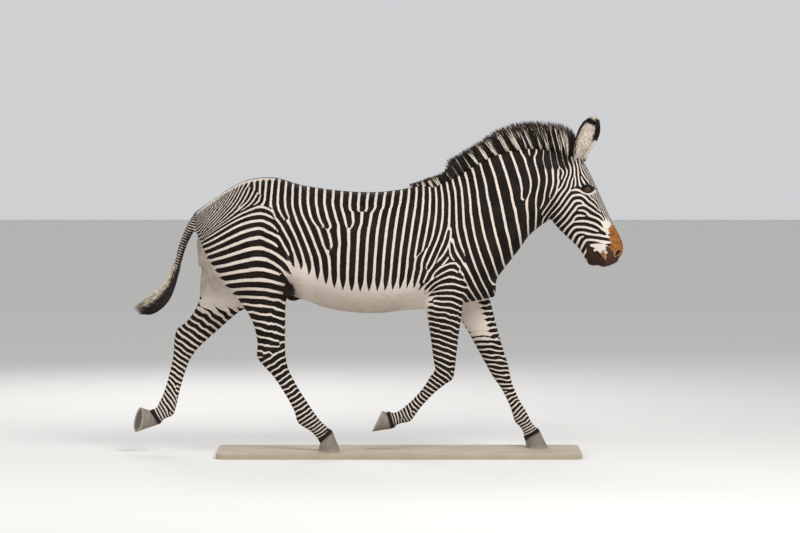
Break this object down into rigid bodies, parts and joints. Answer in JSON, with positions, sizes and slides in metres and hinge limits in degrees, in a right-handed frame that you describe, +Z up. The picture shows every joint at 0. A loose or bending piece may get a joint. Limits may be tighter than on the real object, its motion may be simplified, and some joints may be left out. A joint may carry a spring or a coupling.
{
  "type": "zebra",
  "caption": "Life-size Grevy's zebra stallion trotting to one side, a still display model on a plain flat rectangular base.",
  "frame": {"origin": "centre of the bounding box, on the underside of the base", "axes": "+X towards the muzzle, +Y towards the left side, +Z up"},
  "size_m": [2.7042, 0.6, 1.8709],
  "materials": {
    "coat": "short flat hair, black and cream stripes",
    "hair": "coarse long hair",
    "horn": "matt horn",
    "eye": "wet gloss",
    "base": "matt paint"
  },
  "bodies": {
    "root": {"trunk": "coat", "neck": "coat", "head": "coat", "tail_dock": "coat", "ear_left": "coat", "ear_right": "coat", "foreleg_right_upper": "coat", "foreleg_right_lower": "coat", "foreleg_left_upper": "coat", "foreleg_left_lower": "coat", "hindleg_right_upper": "coat", "hindleg_right_lower": "coat", "hindleg_left_upper": "coat", "hindleg_left_lower": "coat", "mane": "hair", "tail_tuft": "hair", "hoof_fore_right": "horn", "hoof_fore_left": "horn", "hoof_hind_right": "horn", "hoof_hind_left": "horn", "eye_right": "eye", "eye_left": "eye", "stand_base": "base"}
  },
  "joints": []
}
